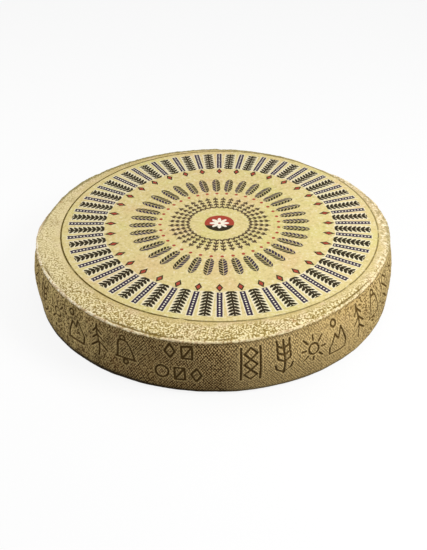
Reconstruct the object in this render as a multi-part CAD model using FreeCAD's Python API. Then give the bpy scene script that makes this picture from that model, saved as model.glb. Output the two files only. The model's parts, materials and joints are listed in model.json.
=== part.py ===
"""A whole wheel of hard mountain cheese with a round paper label on its upper face.

The wheel is a low, slightly uneven drum.  It was pressed in a hoop lined with cloth, so its heel bellies
out between a rounded foot and a narrow neck, and the upper edge carries a thin rolled lip.  The paper
label lies flat on the upper face, a little off centre.

Millimetres, +Z up.  The origin is the centre of the board face, on the board.
"""
import FreeCAD, Part
import math
import os

# ---- the wheel --------------------------------------------------------------------------------------
BELLY_RADIUS = 298.1       # mean radius where the heel is widest
WHEEL_HEIGHT = 100.5       # board face to upper face
BELLY_LEVEL = 47.0         # height of the widest part above the board
FOOT_DRAW_IN = 2.0         # how far the heel draws in from the belly to the foot
FOOT_ROUND_WIDTH = 10.0    # rounded lower edge, measured inwards
FOOT_ROUND_HEIGHT = 9.0    # rounded lower edge, measured upwards

# ---- the rolled lip on the upper edge ---------------------------------------------------------------
LIP_DRAW_IN = 5.7          # how far the outside of the lip stands in from the belly
LIP_ROLL = 2.6             # radius of the roll
LIP_DROP = 1.9             # crest of the roll below the upper face
LIP_WIDTH = 8.0            # outside of the lip to the edge of the flat upper face
NECK_UNDERCUT = 1.4        # how far the heel is pinched in under the lip
NECK_DROP = 9.5            # the pinch below the upper face

# ---- the paper label --------------------------------------------------------------------------------
NARROWEST_BAND = 1.8       # strip of flat rind left bare where the label comes nearest to the flat's edge
LABEL_SHIFT = (8.0, 10.5)  # centre of the label from the centre of the wheel
LABEL_THICKNESS = 0.3

# ---- unevenness of the heel: (waves round the wheel, height of a wave, bearing of a crest in degrees)
FOOT_WAVES = [(1, 3.9, -51.0), (2, 4.7, 96.0), (3, 2.9, -144.0)]
BELLY_WAVES = [(3, 2.6, -153.0), (4, 3.3, 32.0)]
LIP_WAVES = [(1, 3.1, -160.0), (2, 1.6, 84.0), (3, 2.1, 73.0), (4, 2.4, 0.0)]

# ---- fineness of the construction -------------------------------------------------------------------
RING_POINTS = 40           # points that each closed ring curve passes through
HEEL_STEPS = 2             # rings between the belly and each end of the heel


def swell(waves, bearing):
    """Distance that a set of waves pushes the rind outwards at a bearing."""
    return sum(height * math.cos(count * bearing - math.radians(crest)) for count, height, crest in waves)


def eased(share):
    """Smooth step from 0 to 1."""
    return share * share * (3.0 - 2.0 * share)


def uneven_radius(mean, level, bearing):
    """Radius of the rind: its mean, and the waves of the zones that meet at this level."""
    neck_level = WHEEL_HEIGHT - NECK_DROP
    if level < BELLY_LEVEL:
        end_waves = FOOT_WAVES
        share = eased(min(1.0, (BELLY_LEVEL - level) / (BELLY_LEVEL - FOOT_ROUND_HEIGHT)))
    else:
        end_waves = LIP_WAVES
        share = eased(min(1.0, (level - BELLY_LEVEL) / (neck_level - BELLY_LEVEL)))
    return mean + share * swell(end_waves, bearing) + (1.0 - share) * swell(BELLY_WAVES, bearing)


def foot_section():
    """Rounded lower edge, from the flat board face out to the heel, as (mean radius, level)."""
    outside = BELLY_RADIUS - FOOT_DRAW_IN
    turns = [math.radians(angle) for angle in (0.0, 30.0, 60.0, 90.0)]
    return [(outside - FOOT_ROUND_WIDTH * (1.0 - math.sin(turn)), FOOT_ROUND_HEIGHT * (1.0 - math.cos(turn)))
            for turn in turns]


def heel_section():
    """Bellied heel from above the foot, over the belly, to the neck, as (mean radius, level)."""
    foot_rise = BELLY_LEVEL - FOOT_ROUND_HEIGHT
    neck_rise = WHEEL_HEIGHT - NECK_DROP - BELLY_LEVEL
    neck_draw_in = LIP_DRAW_IN + NECK_UNDERCUT
    shares = [step / HEEL_STEPS for step in range(HEEL_STEPS + 1)]
    below = [(BELLY_RADIUS - FOOT_DRAW_IN * share ** 2, BELLY_LEVEL - foot_rise * share) for share in shares]
    above = [(BELLY_RADIUS - neck_draw_in * share ** 2, BELLY_LEVEL + neck_rise * share) for share in shares]
    return below[-2::-1] + above[1:]


def lip_section():
    """Rolled lip, from its outside over its crest to the crease and the flat, as (mean radius, level)."""
    outside = BELLY_RADIUS - LIP_DRAW_IN
    crest_level = WHEEL_HEIGHT - LIP_DROP
    turns = [math.radians(angle) for angle in (0.0, 36.0, 72.0, 108.0, 144.0)]
    roll = [(outside - LIP_ROLL * (1.0 - math.cos(turn)), crest_level - LIP_ROLL * (1.0 - math.sin(turn)))
            for turn in turns]
    return roll + [flat_edge()]


def flat_edge():
    """Edge of the flat upper face, as (mean radius, level)."""
    return BELLY_RADIUS - LIP_DRAW_IN - LIP_WIDTH, WHEEL_HEIGHT


def ring(mean, level):
    """One closed, uneven ring of the wheel's skin, level with the board."""
    stations = list(range(RING_POINTS + 1))
    points = []
    for station in stations[:-1]:
        bearing = 2.0 * math.pi * station / RING_POINTS
        radius = uneven_radius(mean, level, bearing)
        points.append(FreeCAD.Vector(radius * math.cos(bearing), radius * math.sin(bearing), level))
    curve = Part.BSplineCurve()
    curve.interpolate(Points=points, PeriodicFlag=True, Parameters=stations)
    return Part.Wire([curve.toShape()])


def skin(section, banded):
    """Skin through the rings of one zone of the wheel: straight narrow bands, or one smooth face."""
    return Part.makeLoft([ring(mean, level) for mean, level in section], False, banded).Faces


def cheese_wheel():
    """The wheel as one solid: foot, heel and lip are lofted in turn, and two flat faces close them."""
    foot = foot_section()
    heel = [foot[-1]] + heel_section()
    lip = [heel[-1]] + lip_section()
    board_face = Part.Face(ring(*foot[0]))
    upper_face = Part.Face(ring(*lip[-1]))
    sides = skin(foot, banded=True) + skin(heel, banded=False) + skin(lip, banded=True)
    shell = Part.Shell([board_face] + sides + [upper_face])
    shell.sewShape()
    return Part.Solid(shell)


def paper_label():
    """Round paper label lying on the upper face, as large as its place and the bare strip allow."""
    seat = FreeCAD.Vector(LABEL_SHIFT[0], LABEL_SHIFT[1], WHEEL_HEIGHT)
    reach = ring(*flat_edge()).distToShape(Part.Vertex(seat))[0]
    return Part.makeCylinder(reach - NARROWEST_BAND, LABEL_THICKNESS, seat)


def centred(pieces):
    """Slide all pieces together over the board until the middle of their common box is on the Z axis."""
    box = Part.makeCompound(list(pieces.values())).optimalBoundingBox(False)
    shift = FreeCAD.Vector(-box.Center.x, -box.Center.y, 0.0)
    return {name: piece.translated(shift) for name, piece in pieces.items()}


def main():
    """Build every piece and write it to its own file."""
    os.makedirs("parts", exist_ok=True)
    pieces = centred({"cheese_wheel": cheese_wheel(), "paper_label": paper_label()})
    for name, piece in pieces.items():
        piece.exportStep("parts/" + name + ".step")
        box = piece.BoundBox
        print(name, "valid", piece.isValid(), "volume", round(piece.Volume / 1e6, 3), "litres",
              "size", round(box.XLength, 1), round(box.YLength, 1), round(box.ZLength, 1))


main()
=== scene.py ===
"""Whole wheel of hard mountain cheese: cloth-pressed rind, pressed frieze, and a printed paper label.

The file is laid out as an add-on and runs as a script.  Everything is in metres, in the frame of the
packed wheel: +Z up, the wheel lying on the board at Z = 0.
"""
import json
import math
from functools import partial, reduce

import bmesh
import bpy
import numpy as np
from bpy.props import FloatProperty, FloatVectorProperty, IntProperty, PointerProperty
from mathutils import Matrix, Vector
from mathutils.kdtree import KDTree

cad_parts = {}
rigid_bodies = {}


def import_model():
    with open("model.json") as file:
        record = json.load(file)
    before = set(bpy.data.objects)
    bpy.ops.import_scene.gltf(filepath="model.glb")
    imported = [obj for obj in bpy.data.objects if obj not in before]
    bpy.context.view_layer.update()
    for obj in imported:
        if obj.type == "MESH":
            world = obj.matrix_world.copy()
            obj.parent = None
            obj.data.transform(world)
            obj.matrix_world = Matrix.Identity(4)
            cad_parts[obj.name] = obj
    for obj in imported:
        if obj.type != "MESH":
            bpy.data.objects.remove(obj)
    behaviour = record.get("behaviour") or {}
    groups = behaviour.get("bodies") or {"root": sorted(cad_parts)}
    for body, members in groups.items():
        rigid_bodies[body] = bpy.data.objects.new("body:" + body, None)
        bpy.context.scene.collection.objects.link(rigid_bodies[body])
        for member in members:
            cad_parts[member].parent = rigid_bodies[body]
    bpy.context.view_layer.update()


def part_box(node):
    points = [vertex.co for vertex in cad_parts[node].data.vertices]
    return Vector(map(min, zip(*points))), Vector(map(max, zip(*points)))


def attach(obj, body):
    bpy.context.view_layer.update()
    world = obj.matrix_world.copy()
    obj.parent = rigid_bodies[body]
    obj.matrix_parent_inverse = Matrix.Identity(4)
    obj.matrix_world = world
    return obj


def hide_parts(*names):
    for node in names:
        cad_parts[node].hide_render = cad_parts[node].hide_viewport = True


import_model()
WHEEL_LOW, WHEEL_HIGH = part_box("cheese_wheel")
LABEL_LOW, LABEL_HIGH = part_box("paper_label")
LABEL_CENTRE = (LABEL_LOW + LABEL_HIGH) / 2.0
LABEL_RADIUS = (LABEL_HIGH.x - LABEL_LOW.x) / 2.0

bl_info = {
    "name": "Mountain cheese wheel",
    "version": (1, 0, 0),
    "blender": (4, 5, 0),
    "location": "3D View > Sidebar > Cheese",
    "description": "Builds a cloth-pressed wheel of hard cheese with its paper label",
    "category": "Add Mesh",
}

MM = 0.001
TURN = 2.0 * math.pi

# The axis that the rings of the wheel stand round: the label's centre, less its shift on the wheel.
LABEL_SHIFT = (8.0 * MM, 10.5 * MM)
AXIS = (LABEL_CENTRE.x - LABEL_SHIFT[0], LABEL_CENTRE.y - LABEL_SHIFT[1])

# Unevenness of the rind: (waves round the wheel, height of a wave, bearing of a crest in degrees).
FOOT_WAVES = [(1, 3.9 * MM, -51.0), (2, 4.7 * MM, 96.0), (3, 2.9 * MM, -144.0)]
BELLY_WAVES = [(3, 2.6 * MM, -153.0), (4, 3.3 * MM, 32.0)]
LIP_WAVES = [(1, 3.1 * MM, -160.0), (2, 1.6 * MM, 84.0), (3, 2.1 * MM, 73.0), (4, 2.4 * MM, 0.0)]

# Where the lip is folded over and leaves a crease behind it: (bearing, half width, strength).
FOLDS = [(-112.0, 12.0, 1.0), (-88.0, 7.0, 0.5), (-44.0, 11.0, 0.9), (-153.0, 5.0, 0.7), (22.0, 14.0, 0.8),
         (78.0, 18.0, 0.6), (128.0, 10.0, 0.8), (166.0, 11.0, 1.0)]
# Where the lip is worn down to a slant: (bearing, half width, depth).
WORN = [(167.0, 11.0, 3.6 * MM), (-20.0, 9.0, 1.4 * MM), (48.0, 8.0, 2.2 * MM)]

SEAM_BEARING = math.radians(90.0)  # the unrolled heel starts and ends here, at the back
SOFT_EDGE = 0.25 * MM  # half the width of the soft edge of a printed shape
MATT_SPECULAR = 0.06  # rind and paper have hardly any gloss
MOTIF_TILT = 0.05  # most that a motif of the frieze leans, in radians
FRIEZE_START = -99.0  # bearing in degrees where a phrase of the frieze starts
SMALL_MARK = 25.0 * MM  # size of the frieze's small marks
FLOOR_REACH = 14.0  # half the floor's width
FLOOR_GLOW = 0.88  # how much of the floor's look is plain white


# ---- node graphs ----
def maths(operation, reflected=False):
    """An operator of Value: it adds one Math node, and a reflected one has the value last."""
    def method(self, *others):
        return self.graph.math(operation, *((*others, self) if reflected else (self, *others)))
    return method


class Value:
    """A socket of a node graph, so that its maths is written as ordinary sums."""

    def __init__(self, graph, socket):
        self.graph = graph
        self.socket = socket

    __add__ = __radd__ = maths("ADD")
    __mul__ = __rmul__ = maths("MULTIPLY")
    __sub__ = maths("SUBTRACT")
    __rsub__ = maths("SUBTRACT", reflected=True)
    __truediv__ = maths("DIVIDE")
    __rtruediv__ = maths("DIVIDE", reflected=True)
    __mod__ = maths("FLOORED_MODULO")
    __pow__ = maths("POWER")
    __abs__ = maths("ABSOLUTE")


class Made:
    """A node that has been added: its outputs by name or place."""

    def __init__(self, graph, node):
        self.graph = graph
        self.node = node

    def __getitem__(self, key):
        return Value(self.graph, pick(self.node.outputs, key))


def pick(sockets, key):
    """The socket at a place, or the first whose identifier or name is the key."""
    if isinstance(key, int):
        return sockets[key]
    for socket in sockets:
        if key in (socket.identifier, socket.name):
            return socket
    raise KeyError(f"no socket {key!r} among {[socket.name for socket in sockets]}")


class Graph:
    """Adds nodes to a material's tree or to a geometry tree."""

    def __init__(self, tree):
        self.tree = tree

    def add(self, kind, sockets=None, **settings):
        """Add a node: its settings first, then a value or a link for each of its sockets."""
        node = self.tree.nodes.new(kind)
        for name, value in settings.items():
            setattr(node, name, value)
        for key, value in (sockets or {}).items():
            socket = pick(node.inputs, key)
            if isinstance(value, Value):
                self.tree.links.new(value.socket, socket)
            elif socket.type == "RGBA":
                socket.default_value = (*value[:3], 1.0)
            else:
                socket.default_value = value
        return Made(self, node)

    def math(self, operation, *values):
        """One Math node."""
        return self.add("ShaderNodeMath", dict(enumerate(values)), operation=operation)[0]

    def least(self, *values):
        """The smallest of some values."""
        return reduce(partial(self.math, "MINIMUM"), values)

    def most(self, *values):
        """The largest of some values."""
        return reduce(partial(self.math, "MAXIMUM"), values)

    def reach(self, across, up):
        """Length of a line that runs so far across and so far up."""
        return self.math("SQRT", across * across + up * up)

    def ramp(self, value, low, high):
        """0 below low, 1 above high and a smooth rise between; low may be the larger one."""
        return self.add("ShaderNodeMapRange", {"Value": value, "From Min": low, "From Max": high},
                        interpolation_type="SMOOTHSTEP")[0]

    def within(self, distance, half, soft=SOFT_EDGE):
        """1 where a distance is under a half width, with a soft edge."""
        return self.ramp(distance, half + soft, half - soft)

    def between(self, value, low, high, soft=SOFT_EDGE):
        """1 where a value lies between two limits, with soft edges."""
        return self.ramp(value, low - soft, low + soft) * self.ramp(value, high + soft, high - soft)

    def mix(self, factor, first, second):
        """Mix two colours."""
        return self.add("ShaderNodeMix", {"Factor_Float": factor, "A_Color": first, "B_Color": second},
                        data_type="RGBA")["Result_Color"]

    def coats(self, base, *coats):
        """Lay coats over a base colour, each of them how much of it there is and its colour."""
        for amount, tint in coats:
            base = self.mix(amount, base, tint)
        return base

    def noise(self, vector, size, detail=2.0, roughness=0.5, distortion=0.0):
        """Noise from 0 to 1 whose lumps are about one size across."""
        return self.add("ShaderNodeTexNoise",
                        {"Vector": vector, "Scale": 1.0 / size, "Detail": detail, "Roughness": roughness,
                         "Distortion": distortion})[0]

    def parts(self, vector):
        """The three parts of a vector."""
        made = self.add("ShaderNodeSeparateXYZ", {"Vector": vector})
        return made[0], made[1], made[2]

    def vector(self, x, y, z=0.0):
        """A vector from three values."""
        return self.add("ShaderNodeCombineXYZ", {"X": x, "Y": y, "Z": z})[0]

    def attribute(self, name):
        """A number that the mesh carries at each point, in a material."""
        return self.add("ShaderNodeAttribute", attribute_name=name)["Fac"]

    def carried(self, name, kind="FLOAT"):
        """What the mesh carries at each point, in a geometry tree."""
        return self.add("GeometryNodeInputNamedAttribute", {"Name": name}, data_type=kind)[0]

    def surface(self, tint, roughness, relief, strength):
        """End a material: a matt surface of a colour and roughness, with a fine relief in metres."""
        bump = self.add("ShaderNodeBump", {"Strength": strength, "Distance": 1.0, "Height": relief})[0]
        shader = self.add("ShaderNodeBsdfPrincipled",
                          {"Base Color": tint, "Roughness": roughness, "Normal": bump,
                           "Specular IOR Level": MATT_SPECULAR})[0]
        self.add("ShaderNodeOutputMaterial", {"Surface": shader})


def new_material(name):
    """An empty material and its graph."""
    material = bpy.data.materials.new(name)
    material.use_nodes = True
    material.node_tree.nodes.clear()
    return material, Graph(material.node_tree)


def geometry_tree(name, **inputs):
    """A geometry tree with a geometry and other named inputs, listed by kind: its graph and its inputs."""
    tree = bpy.data.node_groups.new(name, "GeometryNodeTree")
    for side in ("INPUT", "OUTPUT"):
        tree.interface.new_socket(name="Geometry", in_out=side, socket_type="NodeSocketGeometry")
    for kind, labels in inputs.items():
        for label in labels.split(", "):
            tree.interface.new_socket(name=label, in_out="INPUT", socket_type="NodeSocket" + kind)
    graph = Graph(tree)
    return graph, graph.add("NodeGroupInput")


def finish_tree(graph, geometry, material):
    """End a geometry tree: realize its instances and set its material."""
    real = graph.add("GeometryNodeRealizeInstances", {"Geometry": geometry})[0]
    dressed = graph.add("GeometryNodeSetMaterial", {"Geometry": real, "Material": material})[0]
    graph.add("NodeGroupOutput", {0: dressed})


def run_tree(piece, graph, values):
    """Run a geometry tree on a piece with its inputs set, and keep the result as the piece's plain mesh."""
    modifier = piece.modifiers.new(graph.tree.name, "NODES")
    modifier.node_group = graph.tree
    for item in graph.tree.interface.items_tree:
        if item.in_out == "INPUT" and item.name in values:
            modifier[item.identifier] = values[item.name]
    bpy.context.view_layer.update()
    depsgraph = bpy.context.evaluated_depsgraph_get()
    mesh = bpy.data.meshes.new_from_object(piece.evaluated_get(depsgraph), preserve_all_data_layers=True,
                                           depsgraph=depsgraph)
    mesh.name = piece.name
    piece.modifiers.clear()
    piece.data = mesh


# ---- sizes and colours ----
def maker(kind, **limits):
    """What makes one kind of property from its name, description and default."""
    return lambda name, about, default: kind(name=name, description=about, default=default, **limits)


length = maker(FloatProperty, min=0.0, unit="LENGTH", precision=5)
angle = maker(FloatProperty, subtype="ANGLE")
focal_length = maker(FloatProperty, min=1.0, unit="CAMERA")
watts = maker(FloatProperty, min=0.0, unit="POWER")
factor = maker(FloatProperty, min=0.0)
tally = maker(IntProperty, min=1)
position = maker(FloatVectorProperty, size=3, subtype="TRANSLATION")
colour = maker(FloatVectorProperty, size=3, min=0.0, max=1.0, subtype="COLOR")


class CheeseWheelSizes(bpy.types.PropertyGroup):
    """Sizes of the wheel's form."""
    belly_radius: length("Belly radius", "Mean radius where the heel is widest", 298.1 * MM)
    height: length("Height", "Board to upper face", WHEEL_HIGH.z - WHEEL_LOW.z)
    belly_level: length("Belly level", "Height of the widest part", 47.0 * MM)
    foot_draw_in: length("Foot draw-in", "How far the heel draws in to the foot", 2.0 * MM)
    foot_round_width: length("Foot round width", "Rounded lower edge, inwards", 10.0 * MM)
    foot_round_height: length("Foot round height", "Rounded lower edge, upwards", 9.0 * MM)
    lip_draw_in: length("Lip draw-in", "How far the lip stands in from the belly", 5.7 * MM)
    lip_roll: length("Lip roll", "Radius of the rolled lip", 2.6 * MM)
    lip_drop: length("Lip drop", "Crest of the lip below the upper face", 1.9 * MM)
    lip_width: length("Lip width", "Outside of the lip to the flat upper face", 8.0 * MM)
    neck_undercut: length("Neck undercut", "Pinch of the heel under the lip", 1.4 * MM)
    neck_drop: length("Neck drop", "Pinch below the upper face", 9.5 * MM)
    facet: length("Facet", "Size of the mesh's faces before it is refined", 2.2 * MM)
    grain_size: length("Grain size", "Lumps of the rind", 5.0 * MM)
    grain_height: length("Grain height", "Height of the lumps", 1.5 * MM)
    dent_size: length("Dent size", "Broad dents of the rind", 40.0 * MM)
    dent_height: length("Dent height", "Depth of the dents", 2.8 * MM)
    lip_size: length("Lip lumps", "Lumps along the lip", 15.0 * MM)
    lip_height: length("Lip lump height", "Height of the lip's lumps", 3.0 * MM)


class CheeseFriezeSizes(bpy.types.PropertyGroup):
    """Sizes of the ornaments pressed into the heel."""
    phrases: tally("Phrases", "Times the frieze repeats round the heel", 3)
    motifs: tally("Motifs", "Large motifs in a phrase", 10)
    motif_height: length("Motif height", "Height of a large motif", 56.0 * MM)
    motif_level: length("Motif level", "Middle of the large motifs above the board", 57.0 * MM)
    groove_width: length("Groove width", "Half the width of a pressed groove", 2.0 * MM)
    groove_depth: length("Groove depth", "Depth of a pressed groove", 1.7 * MM)


class CheeseRindColours(bpy.types.PropertyGroup):
    """Colours of the rind."""
    heel: colour("Heel", "Dry cloth-pressed heel", (0.54, 0.355, 0.12))
    # Darker, browner heel: partly the rind's own colour and partly painted shade on the front left, away from
    # the key lamp.
    heel_dark: colour("Dark heel", "Browner, darker stretches of the heel", (0.275, 0.148, 0.052))
    heel_olive: colour("Olive heel", "Greenish stretches of the heel", (0.58, 0.45, 0.17))
    heel_pale: colour("Pale heel", "Paler, greyer stretch of the heel", (0.44, 0.355, 0.16))
    heel_tan: colour("Tan heel", "Pinkish tan patches of the heel", (0.44, 0.275, 0.125))
    groove: colour("Groove", "Bottom of the pressed grooves", (0.1, 0.057, 0.014))
    pit: colour("Pit", "Pits of the cloth's print", (0.05, 0.026, 0.006))
    # Painted shade: the dark line where the foot meets the board is a painted contact shadow.
    foot_shade: colour("Foot shade", "Dark line where the foot meets the board", (0.022, 0.013, 0.005))
    crown: colour("Crown", "Raised dots of the cloth's print", (0.8, 0.6, 0.27))
    band: colour("Band", "Upper face round the label", (0.6, 0.465, 0.195))
    blush: colour("Blush", "Pinkish patches of the upper face", (0.7, 0.535, 0.32))
    flour: colour("Bloom", "Pale bloom on the upper face and the lip", (0.88, 0.77, 0.46))
    # Partly real wear, partly painted highlight: the palest crest of the lip, used most on the left. Also the
    # pale spots on the band at the right.
    lip_wear_and_highlight: colour("Lip wear and highlight", "Palest, rubbed crest of the lip", (1.0, 0.92, 0.68))
    far_lip: colour("Far lip", "Dull olive lip at the back", (0.255, 0.21, 0.08))
    speck: colour("Specks", "Olive brown specks", (0.27, 0.19, 0.05))
    rust: colour("Rust", "Reddish brown stains", (0.42, 0.2, 0.06))
    # Painted shade in the crease behind the folded lip.
    crease: colour("Crease", "Olive brown crease behind the folded lip", (0.2, 0.13, 0.03))
    weave: length("Weave", "Pitch of the cloth's dots along a row", 4.35 * MM)


class CheeseLabelSizes(bpy.types.PropertyGroup):
    """Sizes of the paper label and of its print."""
    radius: length("Radius", "Radius of the label", LABEL_RADIUS)
    thickness: length("Thickness", "Thickness of the paper", LABEL_HIGH.z - LABEL_LOW.z)
    crease_height: length("Crease height", "Height of the paper's creases", 0.55 * MM)
    crease_size: length("Crease size", "Spacing of the paper's creases", 42.0 * MM)
    ears: tally("Ears", "Barley ears, and ribbons between them", 36)
    leaves: tally("Leaves", "Leaves of the middle ring", 36)
    chevrons: tally("Chevrons", "Twigs of chevrons in the inner ring", 36)


class CheeseLabelColours(bpy.types.PropertyGroup):
    """Colours of the paper and the inks."""
    paper: colour("Paper", "Pale straw paper", (0.69, 0.57, 0.258))
    paper_warm: colour("Warm paper", "Peach patches where fat has soaked in", (0.69, 0.5, 0.245))
    paper_green: colour("Green paper", "Greenish patches of the paper", (0.65, 0.58, 0.215))
    black: colour("Black ink", "Ears and leaves", (0.013, 0.008, 0.003))
    navy: colour("Navy ink", "Ribbons", (0.022, 0.012, 0.042))
    brown: colour("Brown ink", "Chevrons", (0.06, 0.034, 0.02))
    red: colour("Red ink", "Small marks and the emblem", (0.36, 0.045, 0.028))
    white: colour("White ink", "Windows of the ribbons, and the flower", (0.88, 0.83, 0.68))
    line: colour("Outline", "Printed line at the edge", (0.11, 0.072, 0.006))


class CheeseStudioSettings(bpy.types.PropertyGroup):
    """Camera, floor and lamps."""
    lens: focal_length("Lens", "Focal length in millimetres", 53.27)
    camera_spot: position("Camera spot", "Where the camera stands, from the label", (0.0, -1.1695, 0.7278))
    camera_aim: position("Camera aim", "What the camera looks at, from the label", (-0.0093, -0.1504, 0.0))
    camera_roll: angle("Camera roll", "Turn about the camera's own line of sight", math.radians(-0.45))
    key: watts("Key lamp", "Power of the lamp on the right", 17.8)
    top: watts("Top lamp", "Power of the lamp overhead", 7.0)
    fill: watts("Fill lamp", "Power of the lamp on the left", 9.5)
    sky: factor("Sky", "Strength of the plain world light", 0.32)


# ---- the wheel's form ----
def swell(waves, bearing):
    """Distance that a set of waves pushes the rind outwards at some bearings."""
    return sum(height * np.cos(count * bearing - math.radians(crest)) for count, height, crest in waves)


def eased(share):
    """Smooth step from 0 to 1."""
    share = min(1.0, max(0.0, share))
    return share * share * (3.0 - 2.0 * share)


def uneven_radius(sizes, mean, level, bearing):
    """Radius of the rind: its mean, and the waves of the zones that meet at this level."""
    neck_level = sizes.height - sizes.neck_drop
    if level < sizes.belly_level:
        end_waves = FOOT_WAVES
        share = eased((sizes.belly_level - level) / (sizes.belly_level - sizes.foot_round_height))
    else:
        end_waves = LIP_WAVES
        share = eased((level - sizes.belly_level) / (neck_level - sizes.belly_level))
    return mean + share * swell(end_waves, bearing) + (1.0 - share) * swell(BELLY_WAVES, bearing)


def spaced(start, end, step):
    """Even values after start, up to and with end, about a step apart."""
    count = max(1, round(abs(end - start) / step))
    return [start + (end - start) * number / count for number in range(1, count + 1)]


MARKS = ("grain", "dent", "heel", "lip", "crease", "inset")  # what the mesh carries at each point
POLE_RINGS = (0.3, 0.6, 0.85)  # coarse rings near the poles, in shares of the first fine ring
FOOT_TURNS = (22.0, 40.0, 56.0, 74.0, 90.0)  # degrees up the rounding of the foot
# Rings over the rolled lip and behind its crest: (degrees over the roll, how far the rind is lip).
OVER_LIP = ((-20.0, 0.25), (5.0, 0.55), (30.0, 0.95), (55.0, 1.0), (82.0, 0.85))
BEHIND_LIP = ((110.0, 0.6), (138.0, 0.3))
BAND_END = 0.845  # the band's fine rings end under the label, in belly radii
FAINT_FOLD = 0.15  # how far the lip is folded everywhere
WORN_DROP = 0.7  # how far the worn lip comes down for each step inwards
SMOOTH_MARGIN, ROUGHENING = 1.5 * MM, 14.0 * MM  # smooth strip round the label, and the way to full grain


class Row:
    """One ring of the wheel's mesh: where it runs, how rough it is and which part of the rind it shows."""

    def __init__(self, mean, level, waves=1.0, lift=0.0, slant=0.0, **marks):
        self.mean = mean
        self.level = level
        self.waves = waves
        self.lift = lift
        self.slant = slant
        self.marks = {name: marks.get(name, 0.0) for name in MARKS}


def wheel_rows(sizes):
    """Rings of the wheel, from the board face out over the foot, up the heel, over the lip and in again."""
    foot_outside = sizes.belly_radius - sizes.foot_draw_in
    foot_edge = foot_outside - sizes.foot_round_width
    lip_outside = sizes.belly_radius - sizes.lip_draw_in
    crest_level = sizes.height - sizes.lip_drop
    flat_edge = lip_outside - sizes.lip_width
    neck_level = sizes.height - sizes.neck_drop
    neck_draw_in = sizes.lip_draw_in + sizes.neck_undercut
    band_start = flat_edge + sizes.lip_width * 0.2
    band_end = sizes.belly_radius * BAND_END

    def heel_row(mean, level, share=0.0):
        """A ring of the heel, which slants with the lip near the neck."""
        return Row(mean, level, slant=0.5 * max(0.0, share - 0.6), grain=0.6, dent=1.0, heel=1.0)

    def on_roll(turn):
        """Radius and level of a place on the rolled lip, from 0 degrees at its outside to 90 at its crest."""
        turn = math.radians(turn)
        return (lip_outside - sizes.lip_roll * (1.0 - math.cos(turn)),
                crest_level - sizes.lip_roll * (1.0 - math.sin(turn)))

    def valley(mean, level, **marks):
        """A ring behind the crest, which rises to a plain slope where the lip isn't folded."""
        slope = sizes.lip_drop * (lip_outside - sizes.lip_roll - mean) / (sizes.lip_width - sizes.lip_roll)
        return Row(mean, level, lift=crest_level + slope - level, slant=0.6, grain=1.0, **marks)

    rows = [Row(foot_edge * share, 0.0, waves=share) for share in POLE_RINGS]
    rows.append(Row(foot_edge, 0.0, grain=0.1, heel=0.5))
    for turn in FOOT_TURNS:
        turn = math.radians(turn)
        rows.append(Row(foot_outside - sizes.foot_round_width * (1.0 - math.sin(turn)),
                        sizes.foot_round_height * (1.0 - math.cos(turn)), grain=0.5, dent=0.6, heel=1.0))
    for level in spaced(sizes.foot_round_height, sizes.belly_level, sizes.facet):
        share = (sizes.belly_level - level) / (sizes.belly_level - sizes.foot_round_height)
        rows.append(heel_row(sizes.belly_radius - sizes.foot_draw_in * share ** 2, level))
    for level in spaced(sizes.belly_level, neck_level, sizes.facet):
        share = (level - sizes.belly_level) / (neck_level - sizes.belly_level)
        rows.append(heel_row(sizes.belly_radius - neck_draw_in * share ** 2, level, share))
    rows.append(Row(lip_outside - sizes.neck_undercut * 0.6, neck_level + 2.6 * MM, slant=0.5,
                    grain=0.9, dent=0.7, heel=1.0, lip=0.05))
    rows += [Row(*on_roll(turn), slant=1.0, grain=1.0, dent=0.4, heel=1.0 - lip, lip=lip)
             for turn, lip in OVER_LIP]
    rows += [valley(*on_roll(turn), lip=lip, crease=0.9 - lip) for turn, lip in BEHIND_LIP]
    rows.append(valley(lip_outside - sizes.lip_roll * 2.0, crest_level - sizes.lip_roll * 0.6, crease=1.0))
    rows.append(valley(band_start, sizes.height - 0.7 * MM, crease=0.4))
    rows += [Row(radius, sizes.height, waves=radius / flat_edge, grain=0.8)
             for radius in spaced(band_start, band_end, sizes.facet * 1.2)]
    rows += [Row(band_end * share, sizes.height, waves=share * band_end / flat_edge)
             for share in reversed(POLE_RINGS)]
    for row in rows:
        row.marks["inset"] = lip_outside - row.mean
    return rows


def patches_along(patches, bearing):
    """Sum of soft patches round the wheel: (bearing in degrees, half width in degrees, strength)."""
    total = np.zeros(len(bearing))
    for middle, half, strength in patches:
        off = (np.degrees(bearing) - middle + 180.0) % 360.0 - 180.0
        total += strength * np.exp(-(off / half) ** 2)
    return total


def round_points(centre, radius, bearing, level):
    """Points round a centre at some bearings."""
    return np.stack([centre[0] + radius * np.cos(bearing), centre[1] + radius * np.sin(bearing), level], 1)


def carry(mesh, name, values, kind="FLOAT"):
    """Store a number or a vector for each point of a mesh."""
    mesh.attributes.new(name, kind, "POINT").data.foreach_set(
        "value" if kind == "FLOAT" else "vector", np.asarray(values, np.float32).ravel())


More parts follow.
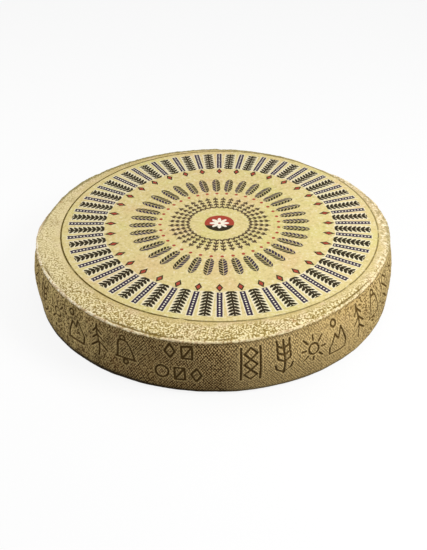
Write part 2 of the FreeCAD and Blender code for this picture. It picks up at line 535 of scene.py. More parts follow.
def wheel_mesh(sizes):
    """The wheel's closed skin as a mesh that carries its marks, its unrolled place and its UV map."""
    rows = wheel_rows(sizes)
    girth = TURN * sizes.belly_radius
    columns = round(girth / sizes.facet)
    stations = np.arange(columns) / columns
    bearing = SEAM_BEARING + TURN * stations
    fold = np.minimum(1.0, FAINT_FOLD + patches_along(FOLDS, bearing))
    worn = patches_along(WORN, bearing)
    points, flat, marks = [], [], {name: [] for name in MARKS}
    for row in rows:
        radius = row.mean + (uneven_radius(sizes, row.mean, row.level, bearing) - row.mean) * row.waves
        radius = radius - worn * row.slant
        level = row.level + row.lift * (1.0 - fold) - worn * row.slant * WORN_DROP
        points.append(round_points(AXIS, radius, bearing, level))
        flat.append(np.stack([stations * girth, np.full(columns, row.level), np.zeros(columns)], 1))
        for name, values in marks.items():
            values.append(row.marks[name] * (fold if name == "crease" else np.ones(columns)))
    vertices = np.concatenate(points + [[[*AXIS, 0.0], [*AXIS, sizes.height]]])

    def corner(row, column):
        """A face's corner: its point, and its place on the cloth."""
        return row * columns + column % columns, (column * girth / columns, rows[row].level)

    # Faces between the rings, and a fan to the pole at each end.
    last = len(rows) - 1
    skin = [[corner(row, column), corner(row, column + 1), corner(row + 1, column + 1),
             corner(row + 1, column)] for row in range(last) for column in range(columns)]
    board_pole, upper_pole = len(rows) * columns, len(rows) * columns + 1
    for column in range(columns):
        left = column * girth / columns
        skin.append([corner(0, column + 1), corner(0, column), (board_pole, (left, -rows[0].mean))])
        skin.append([corner(last, column), corner(last, column + 1),
                     (upper_pole, (left, sizes.height + rows[last].mean))])
    mesh = bpy.data.meshes.new("cheese_wheel_rind")
    mesh.from_pydata(vertices.tolist(), [], [[point for point, _ in corners] for corners in skin])
    places = [place for corners in skin for _, place in corners]
    mesh.uv_layers.new(name="cloth").data.foreach_set("uv", np.array(places, np.float32).ravel())

    # The upper face is smooth under the label and roughens over a short way beyond its edge.
    away = np.hypot(vertices[:, 0] - LABEL_CENTRE.x, vertices[:, 1] - LABEL_CENTRE.y)
    clear = np.clip((away - LABEL_RADIUS - SMOOTH_MARGIN) / ROUGHENING, 0.0, 1.0)
    on_top = vertices[:, 2] > sizes.height - sizes.neck_drop
    for name, blocks in marks.items():
        values = np.concatenate(blocks + [[0.0, 0.0]])
        carry(mesh, name, np.where(on_top, values * clear, values) if name == "grain" else values)
    carry(mesh, "unrolled", np.concatenate(flat + [np.full((2, 3), -1.0)]), "FLOAT_VECTOR")
    return mesh


# ---- pressed ornaments ----
def arc(centre, radius, start, end, steps=12):
    """Points along an arc, angles in degrees."""
    turns = [math.radians(start + (end - start) * step / steps) for step in range(steps + 1)]
    return [(centre[0] + radius * math.cos(turn), centre[1] + radius * math.sin(turn)) for turn in turns]


def circle(centre, radius, steps=12):
    """A closed ring."""
    return arc(centre, radius, 0.0, 360.0, steps)


def both(*strokes):
    """Strokes, each with its mirror image."""
    return [side for stroke in strokes for side in (stroke, [(-x, y) for x, y in stroke])]


def lozenge(centre, width, height):
    """A closed diamond."""
    x, y = centre
    foot = (x, y - height / 2)
    return [foot, (x + width / 2, y), (x, y + height / 2), (x - width / 2, y), foot]


def fir():
    """A fir tree: a trunk and three pairs of boughs."""
    strokes = [[(0.0, -0.5), (0.0, 0.5)]]
    for top, reach, fall in ((0.4, 0.15, 0.17), (0.17, 0.21, 0.2), (-0.08, 0.27, 0.23)):
        strokes += both([(0.0, top), (reach, top - fall)])
    return strokes


def cow_bell():
    """A cow bell with its strap and its clapper."""
    side = [(0.0, 0.34), (0.13, 0.31), (0.19, 0.15), (0.27, -0.3)]
    mouth = [(-0.31, -0.3), (0.31, -0.3)]
    strap = arc((0.0, 0.4), 0.08, -40.0, 220.0)
    return both(side) + [mouth, strap, circle((0.0, -0.4), 0.07)]


def sun_wheel():
    """A sun: a ring with eight rays round it."""
    strokes = [circle((0.0, 0.0), 0.15, 20)]
    for ray in range(8):
        turn = math.radians(45.0 * ray)
        ends = (0.24, 0.42 if ray % 2 else 0.36)
        strokes.append([(reach * math.cos(turn), reach * math.sin(turn)) for reach in ends])
    return strokes


def barley():
    """A barley ear: a stem with pairs of grains and two leaves."""
    strokes = [[(0.0, -0.5), (0.02, -0.2), (0.0, 0.5)]]
    for number in range(3):
        foot = -0.08 + 0.18 * number
        strokes += both([(0.01, foot), (0.17, foot + 0.08), (0.19, foot + 0.22)])
    return strokes + both([(0.0, -0.46), (0.2, -0.32), (0.24, -0.18)])


def lozenge_chain():
    """Three lozenges, one on the other, between two rails."""
    lozenges = [lozenge((0.0, level), 0.34, 0.32) for level in (-0.33, 0.0, 0.33)]
    return lozenges + both([(0.25, -0.5), (0.25, 0.5)])


def peaks():
    """Two mountain peaks under a low sun."""
    left, right = (-0.3, -0.46), (0.3, -0.46)
    ridge = [left, (-0.3, -0.24), (-0.12, 0.12), (-0.01, -0.06), (0.12, 0.24), (0.3, -0.24), right]
    return [ridge, [left, right], circle((-0.12, 0.4), 0.09)]


LARGE_MOTIFS = [fir, cow_bell, lozenge_chain, barley, sun_wheel, peaks]


def new_object(name, data, collection=None):
    """An object at the origin, in the scene or in a collection."""
    piece = bpy.data.objects.new(name, data)
    (collection or bpy.context.scene.collection).objects.link(piece)
    return piece


def motif_collection(name, motifs, size):
    """Motifs as bare edges in the plane of the unrolled heel, each of them a list of strokes."""
    collection = bpy.data.collections.new(name)
    for place, strokes in enumerate(motifs):
        points, edges = [], []
        for stroke in strokes:
            edges += [(end - 1, end) for end in range(len(points) + 1, len(points) + len(stroke))]
            points += [(x * size, y * size, 0.0) for x, y in stroke]
        mesh = bpy.data.meshes.new(name)
        mesh.from_pydata(points, edges, [])
        new_object(f"{name}_{place}", mesh, collection)
    return collection


def small_marks():
    """Small ring, lozenge and square of the pricked block."""
    square = [(-0.3, -0.42), (0.3, -0.42), (0.3, 0.42), (-0.3, 0.42), (-0.3, -0.42)]
    return [[circle((0.0, 0.0), 0.4, 16)], [lozenge((0.0, 0.0), 0.62, 0.96)],
            [square, [square[0], square[2]]]]


# Profile of a pressed groove, in half widths from its middle line: its wall and its raised shoulder.
GROOVE_WALL = (1.0, 0.35)
SHOULDER = (2.6, 1.3)
SHOULDER_RISE = 0.25  # height of the shoulder, in groove depths
FAINT_PRESS = (-0.55, -0.15)  # the grooves fade out in dents this deep
FINE_REACH = 2.6 * MM  # the skin is cut finer this near to a stroke
STROKE_STEP = 1.5 * MM  # spacing of the places looked at along a stroke


def frieze_tree():
    """Geometry tree that sets the motifs out along the unrolled heel, phrase after phrase."""
    graph, given = geometry_tree("frieze", Collection="Motifs", Int="Per Phrase, Phrases, Step",
                                 Float="First, Pitch, Period, Start, Level, Sway", Material="Groove")
    count = given["Per Phrase"] * given["Phrases"]
    line = graph.add("GeometryNodeMeshLine", {"Count": count})[0]
    index = graph.add("GeometryNodeInputIndex")[0]
    place = index % given["Per Phrase"]
    phrase = graph.math("FLOOR", (index + 0.5) / given["Per Phrase"])
    sway = graph.add("FunctionNodeRandomValue",
                     {"Min": (-1.0,) * 3, "Max": (1.0,) * 3, "ID": index, "Seed": 4},
                     data_type="FLOAT_VECTOR")[0]
    sway_x, sway_y, sway_turn = graph.parts(sway)
    along = given["Start"] + given["Period"] * phrase + given["First"] + given["Pitch"] * place
    spot = graph.vector(along + sway_x * given["Sway"], given["Level"] + sway_y * given["Sway"])
    points = graph.add("GeometryNodeSetPosition", {"Geometry": line, "Position": spot})[0]
    motifs = graph.add("GeometryNodeCollectionInfo",
                       {"Collection": given["Motifs"], "Separate Children": True, "Reset Children": True})[0]
    turn = graph.add("FunctionNodeEulerToRotation",
                     {"Euler": graph.vector(0.0, 0.0, sway_turn * MOTIF_TILT)})[0]
    placed = graph.add("GeometryNodeInstanceOnPoints",
                       {"Points": points, "Instance": motifs, "Pick Instance": True,
                        "Instance Index": index * given["Step"], "Rotation": turn})[0]
    finish_tree(graph, placed, given["Groove"])
    return graph


def press_tree():
    """Geometry tree that presses the frieze into the heel and roughens the rind."""
    graph, given = geometry_tree(
        "press", Object="Frieze", Float="Groove Width, Groove Depth, Grain Size, Grain Height, Dent Size, "
        "Dent Height, Lip Size, Lip Height", Material="Rind")
    where = graph.add("GeometryNodeInputPosition")[0]

    def lumps(size, detail):
        """Lumps of a given size, from -1 to 1."""
        return graph.noise(where, size, detail, 0.6) * 2.0 - 1.0

    strokes = graph.add("GeometryNodeObjectInfo", {"Object": given["Frieze"]})["Geometry"]
    unrolled = graph.carried("unrolled", "FLOAT_VECTOR")
    gap = graph.add("GeometryNodeProximity", {"Geometry": strokes, "Sample Position": unrolled},
                    target_element="EDGES")["Distance"] / given["Groove Width"]
    heel = graph.carried("heel")
    groove = graph.ramp(gap, *GROOVE_WALL) * heel * graph.ramp(lumps(given["Dent Size"], 2.0), *FAINT_PRESS)
    shoulder = graph.most(graph.ramp(gap, *SHOULDER) * heel - groove, 0.0)
    push = shoulder * given["Groove Depth"] * SHOULDER_RISE - groove * given["Groove Depth"]
    for kind, detail in (("Grain", 3.0), ("Dent", 1.0), ("Lip", 2.0)):
        height = given[kind + " Height"] * 0.5
        push = push + lumps(given[kind + " Size"], detail) * graph.carried(kind.lower()) * height
    normal = graph.add("GeometryNodeInputNormal")[0]
    offset = graph.add("ShaderNodeVectorMath", {0: normal, "Scale": push}, operation="SCALE")[0]
    marked = given["Geometry"]
    for name, value in (("pressed", groove), ("rim", shoulder)):
        marked = graph.add("GeometryNodeStoreNamedAttribute",
                           {"Geometry": marked, "Name": name, "Value": value},
                           data_type="FLOAT", domain="POINT")[0]
    moved = graph.add("GeometryNodeSetPosition", {"Geometry": marked, "Offset": offset})[0]
    finish_tree(graph, moved, given["Rind"])
    return graph


def refine_near(mesh, strokes):
    """Cut the faces near the strokes finer, so that the grooves are real relief."""
    samples = []
    for edge in strokes.edges:
        start, end = (strokes.vertices[vertex].co for vertex in edge.vertices)
        steps = max(1, math.ceil((end - start).length / STROKE_STEP))
        samples += [start.lerp(end, step / steps) for step in range(steps + 1)]
    tree = KDTree(len(samples))
    for number, point in enumerate(samples):
        tree.insert(point, number)
    tree.balance()
    shape = bmesh.new()
    shape.from_mesh(mesh)
    unrolled = shape.verts.layers.float_vector["unrolled"]
    near = set()
    for vertex in shape.verts:
        if tree.find(vertex[unrolled])[2] < FINE_REACH:
            near.update(edge for face in vertex.link_faces for edge in face.edges)
    bmesh.ops.subdivide_edges(shape, edges=list(near), cuts=1, use_grid_fill=True)
    shape.to_mesh(mesh)
    shape.free()


# ---- the rind's look ----
# Zones of the rind: (bearing in degrees, how squarely the rind faces it where the zone starts and where it is
# full, raggedness of its edge).  Facing is 1 straight at the bearing, 0 square to it and -1 behind.
ZONES = {
    "cloth print in front": (-86.0, 0.62, 0.94, 0.6),
    "cloth print behind": (100.0, 0.25, 0.8, 0.6),
    # Partly darker rind and partly painted shade on the front left.
    "damp": (-132.0, 0.32, 0.95, 0.9),
    "olive": (175.0, 0.15, 0.75, 1.2),
    "dry": (5.0, 0.55, 0.95, 0.0),
    # Painted shade low on the heel, strongest on the front left.
    "soiled": (-115.0, 0.1, 0.6, 0.8),
    # Widens the painted contact shadow at the foot and brightens the painted highlight on the lip, on the
    # left.
    "left": (-152.0, 0.55, 0.95, 0.0),
    # Painted light on the front right of the heel, under the key lamp.
    "light": (-62.0, 0.89, 0.96, 0.0),
    "grained band": (-86.0, -0.1, 0.75, 1.6),
    "floury band": (-172.0, 0.55, 0.9, 0.4),
    "greyed band": (4.0, 0.7, 0.92, 0.8),
    "dull lip behind": (118.0, 0.34, 0.6, 0.5),
    "dull lip at the right": (-8.0, 0.945, 0.968, 0.0),
    "slanted lip": (170.0, 0.935, 0.96, 0.04),
}
FACING_RADIUS = 0.3  # about the radius of the rind
THREAD_RATIO = 0.77  # rows of cloth dots up the heel, to those round it
CLOTH_LOOSENESS = 0.32  # how far the dots stray from their rows
DOT_FALL = 1.35  # how steeply a dot falls off to its pit
STREAK = (8.0, 45.0)  # width and height of a streak of the heel, in millimetres


def cloth_dots(graph, across, along):
    """Print of the pressing cloth: 0 in its pits to 1 on its crowns, set out in staggered rows."""
    spot = graph.vector(across + along, across - along)
    dots = graph.add("ShaderNodeTexVoronoi", {"Vector": spot, "Scale": 1.0, "Randomness": CLOTH_LOOSENESS},
                     voronoi_dimensions="2D")["Distance"]
    return 1.0 - dots * DOT_FALL


def rind_material(colours, sizes):
    """Cloth-pressed rind: dotted heel, grained upper band, pale worn lip and dark pressed grooves."""
    material, graph = new_material("rind")
    ramp, mix, most, noise = graph.ramp, graph.mix, graph.most, graph.noise
    place = graph.add("ShaderNodeTexCoord")["Object"]
    x, y, z = graph.parts(place)
    around, up, _ = graph.parts(graph.add("ShaderNodeUVMap", uv_map="cloth")[0])
    heel, lip, crease, pressed, rim, inset = (
        graph.attribute(name) for name in ("heel", "lip", "crease", "pressed", "rim", "inset"))
    past_label = graph.reach(x - LABEL_CENTRE.x, y - LABEL_CENTRE.y) - LABEL_RADIUS

    broad = noise(place, 150.0 * MM, 2.0, 0.55)
    patches = noise(place, 38.0 * MM, 3.0, 0.6)
    blush = noise(place, 27.0 * MM, 2.0, 0.55, 0.5)
    mottle = noise(place, 9.0 * MM, 3.0, 0.65)
    grit = noise(place, 2.8 * MM, 0.6, 0.5)
    fleck = noise(place, 4.6 * MM, 1.0, 0.5, 0.4)
    streaks = noise(graph.vector(around / STREAK[0], up / STREAK[1]), 1.0 * MM, 2.0, 0.6)

    def facing(bearing):
        """How squarely the rind faces a bearing in degrees."""
        turn = math.radians(bearing)
        return (x * math.cos(turn) + y * math.sin(turn)) / FACING_RADIUS

    def zone(name, ragged_by=patches):
        """0 outside a zone of the rind to 1 in the middle of it."""
        bearing, start, full, ragged = ZONES[name]
        share = facing(bearing)
        return ramp(share + (ragged_by - 0.5) * ragged if ragged else share, start, full)

    # The cloth's print, where it is kept and where it is worn off.
    girth = TURN * sizes.belly_radius
    threads = round(girth / colours.weave) / girth
    drift = (noise(place, 90.0 * MM, 1.0) - 0.5) * 1.6
    on_heel = ramp(heel, 0.2, 0.8)
    woven = cloth_dots(graph, around * threads + drift, up * (threads * THREAD_RATIO) + drift * 0.7)
    kept = most(zone("cloth print in front") * 0.8 + 0.2, zone("cloth print behind") * 0.75)
    worn = 1.0 - kept

    # The heel, from its ground colour to the bottom of its grooves.
    olive = zone("olive")
    soiled = zone("soiled")
    left = zone("left")
    # Painted contact shadow where the foot meets the board, widened on the left.
    foot_line = ramp(z + mottle * 4.0 * MM - left * 3.5 * MM, 14.0 * MM, 8.5 * MM)
    side = graph.coats(
        colours.heel,
        # Darker, browner towards the front left: partly the rind's own colour and partly painted shade. The
        # random dark patches further down are rind colour.
        (zone("damp", ragged_by=broad), colours.heel_dark),
        (olive * 0.9, colours.heel_olive),
        (zone("dry") * 0.7, colours.heel_pale),
        (ramp(blush, 0.52, 0.66) * 0.45, colours.heel_tan),
        (ramp(patches, 0.52, 0.68) * 0.4, colours.heel_dark),
        (ramp(streaks, 0.49, 0.41) * olive * 0.85, colours.groove),
        (ramp(streaks, 0.55, 0.64) * olive * 0.7, colours.crown),
        (ramp(mottle, 0.46, 0.3) * 0.45, colours.speck),
        # Partly the rind's own speckle, partly painted shade in the cloth's pits and painted highlight on its
        # raised dots, standing in for their relief.
        (ramp(woven, 0.53, 0.32) * kept * on_heel, colours.pit),
        (ramp(woven, 0.56, 0.76) * kept * on_heel * 0.85, colours.crown),
        (ramp(grit, 0.49, 0.41) * (worn * 0.5 + 0.34), colours.pit),
        (ramp(grit, 0.51, 0.59) * (worn * 0.42 + 0.24), colours.crown),
        # Painted shade: darker towards the board, strongest on the front left, then the painted contact
        # shadow along the foot.
        (ramp(z, 45.0 * MM, 8.0 * MM) * soiled * 0.3, colours.pit),
        (foot_line * (soiled * 0.85 + 0.1), colours.foot_shade),
        # Painted light: the front right of the heel is painted paler where the key lamp falls.
        (zone("light") * 0.22, colours.crown),
        # Painted highlight on the raised shoulder beside each groove.
        (rim * 0.3, colours.crown),
        # Painted shade at the bottom of the pressed grooves.
        (ramp(pressed + (grit - 0.5) * 0.9, 0.12, 0.5) * 0.92, colours.groove))

    # The bare band between the label and the lip.
    grained = ramp(past_label + (patches - 0.5) * 14.0 * MM, 2.0 * MM, 14.0 * MM) * 0.75 + 0.25
    grained = grained * (zone("grained band", ragged_by=blush) * 0.5 + 0.5)
    greyed = zone("greyed band") * ramp(inset + (mottle - 0.5) * 14.0 * MM, 24.0 * MM, 10.0 * MM)
    upper = graph.coats(
        colours.band,
        (ramp(abs(facing(-8.0)) + (patches - 0.5), 0.45, 0.95) * 0.3, colours.flour),
        (ramp(blush, 0.5, 0.62) * 0.65, colours.blush),
        (zone("floury band") * 0.4, colours.flour),
        (ramp(patches, 0.52, 0.7) * 0.35, colours.speck),
        (ramp(grit, 0.51, 0.59) * grained, colours.flour),
        (ramp(grit, 0.48, 0.39) * grained * 0.9, colours.speck),
        (ramp(fleck, 0.42, 0.34) * grained, colours.speck),
        (greyed * 0.55, colours.blush),
        (greyed * ramp(mottle + fleck, 1.02, 0.86) * 0.6, colours.far_lip),
        (greyed * ramp(mottle + fleck, 1.04, 1.18) * 0.75, colours.lip_wear_and_highlight),
        (ramp(noise(place, 26.0 * MM), 0.68, 0.76) * 0.5, colours.rust))

    # The lip: paler on its crest, partly rubbed and partly a painted highlight that is brighter and wider on
    # the left where less light falls; painted shade in the crease behind it; dull at the back and slanted at
    # the left.
    rubbed_and_lit = mix(ramp(grit, 0.34, 0.6), colours.blush, mix(left, colours.flour, colours.lip_wear_and_highlight))
    rubbed_and_lit = mix(ramp(mottle, 0.52, 0.4) * 0.75, rubbed_and_lit, colours.heel_tan)
    far = most(zone("dull lip behind"), zone("dull lip at the right") * 0.7)
    far = far * ramp(inset + (mottle - 0.5) * 7.0 * MM, 13.0 * MM, 9.5 * MM)
    far = far * ramp(z, 80.0 * MM, 92.0 * MM) * (ramp(grit, 0.6, 0.42) * 0.4 + 0.55)
    slanted = zone("slanted lip", ragged_by=mottle) * ramp(z, 90.0 * MM, 95.0 * MM)
    skin = graph.coats(
        mix(on_heel, upper, side),
        # Painted highlight, partly real wear, on the lip's crest, widened on the left.
        (ramp(lip + left * 0.2 + (mottle - 0.5) * 1.2 + (blush - 0.5) * 1.2, 0.7, 0.98), rubbed_and_lit),
        # Painted shade in the crease behind the lip.
        (ramp(crease * (0.6 + mottle), 0.3, 0.75) * 0.85, colours.crease),
        (far, colours.far_lip),
        (slanted * ramp(inset, 7.5 * MM, 6.5 * MM) * 0.7, colours.blush),
        # Painted shade along the crease of the slanted lip.
        (slanted * graph.between(inset, 7.0 * MM, 9.5 * MM, 0.8 * MM) * 0.8, colours.crease))

    relief = woven * on_heel * kept * 0.9 * MM + grit * 0.9 * MM + mottle * 0.8 * MM
    graph.surface(skin, 0.88 - ramp(patches, 0.4, 0.7) * 0.12, relief, 0.9)
    return material


class CHEESE_OT_wheel(bpy.types.Operator):
    """Build the wheel: its uneven form, its rolled lip and the ornaments pressed into its heel"""
    bl_idname = "cheese.wheel"
    bl_label = "Cheese wheel"

    def execute(self, context):
        """Form the skin, press the frieze into it and give it its rind."""
        sizes = context.scene.cheese_wheel
        frieze_sizes = context.scene.cheese_frieze
        wheel = new_object("cheese_wheel_rind", wheel_mesh(sizes))
        frieze = lay_out_frieze(sizes, frieze_sizes)
        refine_near(wheel.data, frieze.data)
        run_tree(wheel, press_tree(), {
            "Frieze": frieze,
            "Groove Width": frieze_sizes.groove_width, "Groove Depth": frieze_sizes.groove_depth,
            "Grain Size": sizes.grain_size, "Grain Height": sizes.grain_height, "Dent Size": sizes.dent_size,
            "Dent Height": sizes.dent_height, "Lip Size": sizes.lip_size, "Lip Height": sizes.lip_height,
            "Rind": rind_material(context.scene.cheese_rind, sizes)})
        bpy.data.objects.remove(frieze)
        wheel.data.shade_smooth()
        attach(wheel, "root")
        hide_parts("cheese_wheel")
        return {"FINISHED"}


def lay_out_frieze(sizes, frieze_sizes):
    """All pressed strokes on the unrolled heel, as one object of bare edges."""
    degree = math.radians(1.0) * sizes.belly_radius
    period = 360.0 * degree / frieze_sizes.phrases
    start = (FRIEZE_START - math.degrees(SEAM_BEARING)) % 360.0 * degree % period
    large = motif_collection("motif", [motif() for motif in LARGE_MOTIFS], frieze_sizes.motif_height)
    small = motif_collection("mark", small_marks(), SMALL_MARK)
    shared = {"Phrases": frieze_sizes.phrases, "Period": period, "Start": start - period, "Sway": 0.7 * MM}
    graph = frieze_tree()
    shape = bmesh.new()
    # Motifs, how many to a phrase, first place and pitch in degrees, level, and step from one to the next.
    for motifs, per_phrase, first, pitch, level, step in (
            (large, frieze_sizes.motifs, 19.0, 9.33, frieze_sizes.motif_level, 1),
            (small, 2, -3.0, 4.6, 78.0 * MM, 1),
            (small, 3, -5.6, 4.9, 37.0 * MM, 2)):
        line = new_object("strokes", bpy.data.meshes.new("strokes"))
        run_tree(line, graph, {**shared, "Motifs": motifs, "Per Phrase": per_phrase, "First": first * degree,
                               "Pitch": pitch * degree, "Level": level, "Step": step})
        shape.from_mesh(line.data)
        bpy.data.objects.remove(line)
    around = TURN * sizes.belly_radius
    for vertex in shape.verts:
        vertex.co.x %= around
    torn = [edge for edge in shape.edges if edge.calc_length() > 0.5 * around]
    bmesh.ops.delete(shape, geom=torn, context="EDGES")
    frieze = new_object("frieze", bpy.data.meshes.new("frieze"))
    shape.to_mesh(frieze.data)
    shape.free()
    bpy.data.batch_remove([*large.objects, large, *small.objects, small])
    return frieze


# ---- the label ----
EDGE_NICK = (258.0, 1.5, 3.2 * MM)  # a nick in the label's edge: bearing and half width in degrees, depth


def label_mesh(sizes):
    """The label as a thin closed disc, fine enough for its creases."""
    columns, rings = 320, 84
    bearing = TURN * np.arange(columns) / columns
    edge = sizes.radius - patches_along([EDGE_NICK], bearing)
    top = LABEL_LOW.z + sizes.thickness
    blocks = [(share, top) for share in np.arange(1, rings + 1) / rings] + [(1.0, LABEL_LOW.z)]
    vertices = [round_points(LABEL_CENTRE, edge * share, bearing, np.full(columns, level))
                for share, level in blocks]
    vertices = np.concatenate(vertices + [[[LABEL_CENTRE.x, LABEL_CENTRE.y, top]]])
    centre = len(blocks) * columns
    faces = []
    for column in range(columns):
        after = (column + 1) % columns
        faces.append((column, after, centre))
        for ring in range(len(blocks) - 1):
            low, high = ring * columns, (ring + 1) * columns
            faces.append((low + column, high + column, high + after, low + after))
    under = (len(blocks) - 1) * columns
    faces.append(tuple(range(under + columns - 1, under - 1, -1)))
    mesh = bpy.data.meshes.new("printed_label")
    mesh.from_pydata(vertices.tolist(), [], faces)
    carry(mesh, "lift", [1.0 if level == top else 0.0 for _, level in blocks for _ in range(columns)] + [1.0])
    return mesh


def crease_tree():
    """Geometry tree that raises the paper in soft creases."""
    graph, given = geometry_tree("crease", Float="Crease Height, Crease Size", Material="Paper")
    where = graph.add("GeometryNodeInputPosition")[0]
    folds = graph.noise(where, given["Crease Size"], 2.0, 0.6, 0.6)
    soft = graph.noise(where, 20.0 * MM)
    ridge = graph.ramp(abs(folds - 0.5), 0.07, 0.0) * graph.ramp(soft, 0.4, 0.65)
    rise = (ridge + soft * 0.5) * graph.carried("lift") * given["Crease Height"]
    moved = graph.add("GeometryNodeSetPosition",
                      {"Geometry": given["Geometry"], "Offset": graph.vector(0.0, 0.0, rise)})[0]
    finish_tree(graph, moved, given["Paper"])
    return graph


class Polar:
    """Places on the label, as a distance from its centre and a bearing, with repeats round the ring."""

    def __init__(self, graph, place, radius):
        self.graph = graph
        self.radius = radius
        x, y, _ = graph.parts(place)
        self.east = x - LABEL_CENTRE.x
        self.north = y - LABEL_CENTRE.y
        self.out = graph.reach(self.east, self.north)
        self.turns = graph.math("ARCTAN2", self.north, self.east) / TURN

    def sideways(self, count, shift=0.0):
        """Distance across the nearest spoke of an even set of spokes."""
        share = (self.turns * count + shift) % 1.0 - 0.5
        return share * self.out * (TURN / count)

    def beyond(self, share):
        """Distance outwards from a share of the label's radius."""
        return self.out - self.radius * share

    def ring(self, inner, outer):
        """1 between two shares of the label's radius."""
        return self.graph.between(self.out, self.radius * inner, self.radius * outer)


# Where the print's rings lie, in shares of the label's radius.
EAR_RING = (0.725, 0.95)
RIBBON_RING = (0.735, 0.955)
KEYLINE_RING = (0.73, 0.96)
RED_LOZENGES_AT = 0.69
LEAVES_AT, LEAF_REACH = 0.485, 0.09
BERRIES_AT = 0.376
CHEVRONS_AT = (0.205, 0.239, 0.273, 0.307)
STALK_RING = (0.195, 0.325)


def stepped(value, pitch):
    """Distance along from the middle of the nearest step of an even pitch."""
    return ((value / pitch) % 1.0 - 0.5) * pitch


def label_material(colours, sizes):
    """Paper with a plain printed pattern of barley ears, ribbons, leaves, chevrons and a small emblem."""
    material, graph = new_material("label paper")
    ramp, mix, most, noise, within = graph.ramp, graph.mix, graph.most, graph.noise, graph.within
    place = graph.add("ShaderNodeTexCoord")["Object"]
    polar = Polar(graph, place, sizes.radius)
    out = polar.out

    # Barley ears: a stem with slanted grains to each side.
    off = abs(polar.sideways(sizes.ears))
    slant = abs(stepped(out, 7.4 * MM) - (off - 4.0 * MM) * 0.75)
    fullness = most(1.0 - abs((off - 4.2 * MM) / (5.2 * MM)) ** 4.0, 0.0)
    spike = polar.ring(*EAR_RING)
    ears = most(within(slant, fullness * (3.1 * MM)), within(off, 1.5 * MM)) * spike

    # Ribbons between the ears: navy bars with cream windows, and a red lozenge at the inner end.
    bar = abs(polar.sideways(sizes.ears, 0.5))
    bars = within(bar, 4.4 * MM) * polar.ring(*RIBBON_RING)
    keyline = within(bar, 6.0 * MM) * polar.ring(*KEYLINE_RING) - bars
    keyline = most(keyline, within(off, 10.8 * MM) * spike - ears)
    windows = within(bar + abs(stepped(out, 5.6 * MM)), 1.8 * MM) * bars
    drop_reach = bar * 1.1 + abs(polar.beyond(RED_LOZENGES_AT)) * 0.6
    drop = within(drop_reach, 3.5 * MM)
    drop_edge = within(drop_reach, 6.2 * MM) - drop

    # Leaves of the middle ring: one half black, the other navy, with a pale rib and veins, and a red berry.
    leaf = polar.sideways(sizes.leaves, 0.25)
    leaf_off = abs(leaf)
    span = abs(polar.beyond(LEAVES_AT)) / (sizes.radius * LEAF_REACH)
    veins = abs(stepped(out + leaf_off * 0.8, 6.6 * MM))
    leaf_shape = within(leaf_off, most(1.0 - span ** 5.0, 0.0) * (7.0 * MM))
    leaf_shape = leaf_shape * (1.0 - within(leaf_off, 0.5 * MM) * 0.8)
    leaf_shape = leaf_shape * (1.0 - within(veins, 0.8 * MM) * 0.75)
    leaf_navy = leaf_shape * ramp(leaf, -0.2 * MM, 0.2 * MM)
    berry = within(graph.reach(leaf, polar.beyond(BERRIES_AT)), 2.9 * MM)

    # Twigs of chevrons in the inner ring, each on a thin stalk.
    vee = abs(polar.sideways(sizes.chevrons))
    chevrons = 0.0
    for stand in CHEVRONS_AT:
        chevrons = within(abs(polar.beyond(stand) + vee * 0.7), 2.6 * MM) + chevrons
    stalk = within(vee, 1.0 * MM) * polar.ring(*STALK_RING)
    chevrons = most(chevrons * within(vee, 4.2 * MM), stalk)

    # Round emblem: a red field over a black foot, with a pale eight-petal flower.
    field = within(out, 25.0 * MM)
    foot = ramp(polar.north, -6.0 * MM, -7.0 * MM)
    petals = abs(graph.math("COSINE", polar.turns * TURN * 4.0))
    flower = within(out, 7.0 * MM + petals * (9.5 * MM)) * (1.0 - within(out, 2.4 * MM))

    black = graph.least(ears + drop_edge + field * foot + leaf_shape - leaf_navy, 1.0)
    navy = graph.least(bars - windows + leaf_navy, 1.0)
    red = graph.least(drop + berry + field * (1.0 - foot), 1.0)
    wear = ramp(noise(place, 2.2 * MM, 2.0, 0.6), 0.28, 0.42)
    breaks = ramp(noise(place, 14.0 * MM), 0.3, 0.42)
    westward = ramp(polar.east, 0.02, -0.12) * 0.25 + 0.75
    outline = graph.between(polar.beyond(1.0), -2.8 * MM, -0.3 * MM) * most(breaks, westward - 0.3)

    tone = noise(place, 70.0 * MM)
    fibre = noise(place, 4.5 * MM, 2.0, 0.6)
    inked = graph.coats(
        mix(ramp(tone, 0.5, 0.68) * 0.6, colours.paper, colours.paper_warm),
        (ramp(tone, 0.46, 0.32) * 0.6, colours.paper_green),
        (ramp(fibre, 0.54, 0.68) * 0.35, colours.white),
        (ramp(fibre, 0.46, 0.3) * 0.25, colours.line),
        (keyline * 0.5 + windows * 0.9, colours.white),
        (navy * (0.88 + wear * 0.1), colours.navy),
        (black * (0.9 + wear * 0.08), colours.black),
        (chevrons * (0.8 + wear * 0.16), colours.brown),
        (red * (0.8 + wear * 0.18), colours.red),
        (flower * 0.95, colours.white),
        (outline * westward, colours.line))

    crinkle = noise(place, 11.0 * MM, 3.0, 0.6, 0.8) * 0.5 * MM + fibre * 0.12 * MM
    graph.surface(inked, 0.62 - ramp(fibre, 0.5, 0.8) * 0.12, crinkle, 0.6)
    return material


class CHEESE_OT_label(bpy.types.Operator):
    """Build the printed paper label on the upper face"""
    bl_idname = "cheese.label"
    bl_label = "Paper label"

    def execute(self, context):
        """Lay the paper on the wheel, crease it and print it."""
        sizes = context.scene.cheese_label
        label = new_object("printed_label", label_mesh(sizes))
        run_tree(label, crease_tree(), {
            "Crease Height": sizes.crease_height, "Crease Size": sizes.crease_size,
            "Paper": label_material(context.scene.cheese_inks, sizes)})
        label.data.shade_smooth()
        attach(label, "root")
        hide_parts("paper_label")
        return {"FINISHED"}


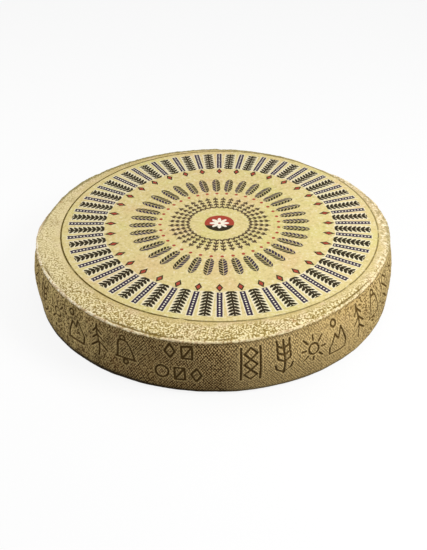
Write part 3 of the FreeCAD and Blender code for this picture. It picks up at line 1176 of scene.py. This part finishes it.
# ---- the studio ----
def look_at(piece, target, roll=0.0):
    """Turn a lamp or a camera towards a point."""
    piece.rotation_euler = (Vector(target) - piece.location).to_track_quat("-Z", "Y").to_euler()
    piece.rotation_euler.rotate_axis("Z", roll)


def light_and_look(graph, light, look):
    """One shader for the light that falls on the wheel, another for what the camera and gloss see."""
    rays = graph.add("ShaderNodeLightPath")
    seen = graph.most(rays["Is Camera Ray"], rays["Is Glossy Ray"], rays["Is Transmission Ray"])
    return graph.add("ShaderNodeMixShader", {0: seen, 1: light, 2: look})[0]


def grey(level):
    """A plain grey."""
    return {"Color": (level, level, level)}


def floor_material():
    """Pale floor: it takes shadows, and is close to plain white to the camera."""
    material, graph = new_material("floor")
    dim = graph.add("ShaderNodeBsdfDiffuse", grey(0.45))[0]
    paint = graph.add("ShaderNodeBsdfDiffuse", grey(0.9))[0]
    glow = graph.add("ShaderNodeEmission", {**grey(1.0), "Strength": 1.0})[0]
    bright = graph.add("ShaderNodeMixShader", {0: FLOOR_GLOW, 1: paint, 2: glow})[0]
    graph.add("ShaderNodeOutputMaterial", {"Surface": light_and_look(graph, dim, bright)})
    return material


def plain_world(scene, strength):
    """Even pale light from all round, white to the camera."""
    scene.world = bpy.data.worlds.new("studio")
    scene.world.use_nodes = True
    scene.world.node_tree.nodes.clear()
    graph = Graph(scene.world.node_tree)
    plain = graph.add("ShaderNodeBackground", {**grey(1.0), "Strength": strength})[0]
    white = graph.add("ShaderNodeBackground", {**grey(1.0), "Strength": 1.0})[0]
    graph.add("ShaderNodeOutputWorld", {"Surface": light_and_look(graph, plain, white)})


def lamp(name, spot, power, width):
    """A square soft lamp that faces the wheel."""
    data = bpy.data.lights.new(name, "AREA")
    data.energy = power
    data.size = width
    piece = new_object(name, data)
    piece.location = spot
    look_at(piece, (0.0, 0.0, 0.05))


class CHEESE_OT_studio(bpy.types.Operator):
    """Set up the floor, the lamps, the plain world and the camera"""
    bl_idname = "cheese.studio"
    bl_label = "Studio"

    def execute(self, context):
        """Lay the floor, hang the lamps and place the camera."""
        settings = context.scene.cheese_studio
        mesh = bpy.data.meshes.new("floor")
        corners = ((-1, -1), (1, -1), (1, 1), (-1, 1))
        mesh.from_pydata([(x * FLOOR_REACH, y * FLOOR_REACH, 0.0) for x, y in corners], [], [(0, 1, 2, 3)])
        floor = new_object("floor", mesh)
        mesh.materials.append(floor_material())
        lamp("lamp right", (1.03, -0.48, 1.13), settings.key, 0.6)
        lamp("lamp overhead", (0.2, 0.5, 1.8), settings.top, 1.0)
        lamp("lamp left", (-1.63, 0.14, 0.76), settings.fill, 0.8)
        plain_world(context.scene, settings.sky)
        top = Vector((LABEL_CENTRE.x, LABEL_CENTRE.y, LABEL_HIGH.z))
        data = bpy.data.cameras.new("camera")
        data.lens = settings.lens
        camera = new_object("camera", data)
        camera.location = top + Vector(settings.camera_spot)
        look_at(camera, top + Vector(settings.camera_aim), settings.camera_roll)
        context.scene.camera = camera
        context.scene.view_settings.view_transform = "Standard"
        return {"FINISHED"}


class CHEESE_PT_panel(bpy.types.Panel):
    """Lists the pieces of the cheese wheel"""
    bl_idname = "CHEESE_PT_panel"
    bl_label = "Cheese wheel"
    bl_space_type = "VIEW_3D"
    bl_region_type = "UI"
    bl_category = "Cheese"

    def draw(self, context):
        """Show each piece's button, then its sizes and colours."""
        for operator, groups in ((CHEESE_OT_wheel, ("cheese_wheel", "cheese_frieze", "cheese_rind")),
                                 (CHEESE_OT_label, ("cheese_label", "cheese_inks")),
                                 (CHEESE_OT_studio, ("cheese_studio",))):
            self.layout.operator(operator.bl_idname)
            for group in groups:
                settings = getattr(context.scene, group)
                for name in settings.__annotations__:
                    self.layout.prop(settings, name)


SETTINGS = {
    "cheese_wheel": CheeseWheelSizes, "cheese_frieze": CheeseFriezeSizes, "cheese_rind": CheeseRindColours,
    "cheese_label": CheeseLabelSizes, "cheese_inks": CheeseLabelColours,
    "cheese_studio": CheeseStudioSettings,
}
CLASSES = [*SETTINGS.values(), CHEESE_OT_wheel, CHEESE_OT_label, CHEESE_OT_studio, CHEESE_PT_panel]


def register():
    """Register the settings, the operators and the panel."""
    for kind in CLASSES:
        bpy.utils.register_class(kind)
    for name, group in SETTINGS.items():
        setattr(bpy.types.Scene, name, PointerProperty(type=group))


def unregister():
    """Take everything out again."""
    for name in SETTINGS:
        delattr(bpy.types.Scene, name)
    for kind in reversed(CLASSES):
        bpy.utils.unregister_class(kind)


def main():
    """Register, then build the studio, the wheel and the label."""
    register()
    bpy.ops.cheese.studio()
    bpy.ops.cheese.wheel()
    bpy.ops.cheese.label()


if __name__ == "__main__":
    main()
